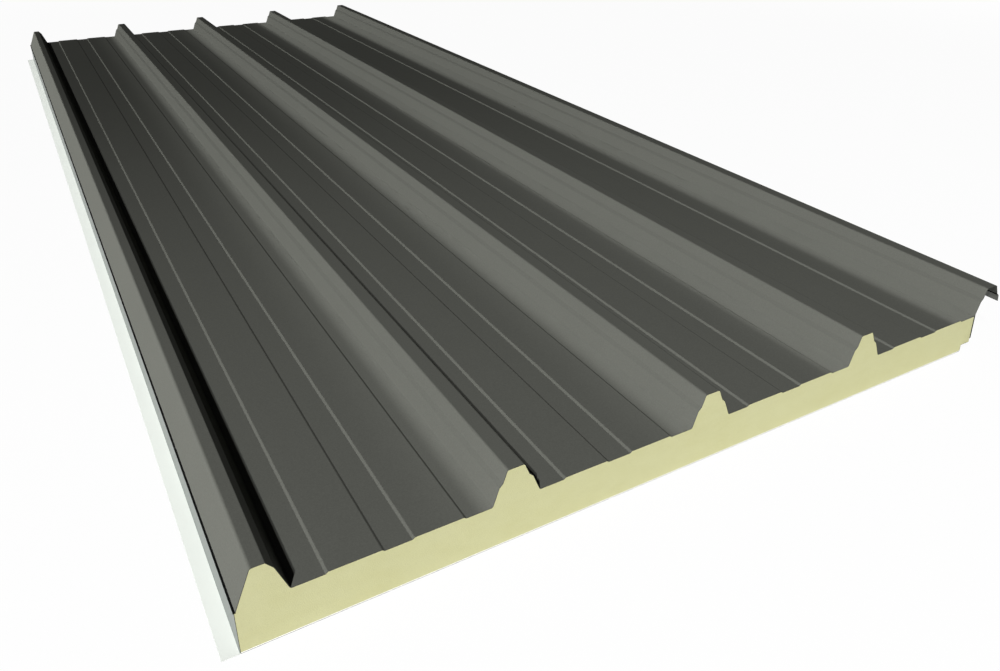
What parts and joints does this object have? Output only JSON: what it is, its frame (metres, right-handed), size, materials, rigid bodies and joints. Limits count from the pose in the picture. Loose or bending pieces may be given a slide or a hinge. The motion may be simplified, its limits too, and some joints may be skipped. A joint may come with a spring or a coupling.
{
  "type": "insulated sandwich panel",
  "caption": "Roof panel with a ribbed steel outer sheet, foam core and flat steel liner; side ribs overlap to join panels edge to edge.",
  "frame": {"origin": "middle of the panel's outline in plan, on the underside of the liner", "axes": "+X across the panel from the underlap rib to the overlap rib, +Y along the ribs, +Z out of the weather side"},
  "size_m": [1.0626, 2.65, 0.088],
  "materials": {
    "outer_sheet": "matt dark grey coated steel",
    "foam_core": "rigid pale yellow foam, cut face",
    "liner_sheet": "satin white coated steel",
    "edge_seal": "matt black foam tape",
    "foot_seal": "matt black sealing bead"
  },
  "bodies": {
    "root": {"outer_sheet": "outer_sheet", "foam_core": "foam_core", "liner_sheet": "liner_sheet", "edge_seal": "edge_seal", "foot_seal": "foot_seal"}
  },
  "joints": []
}
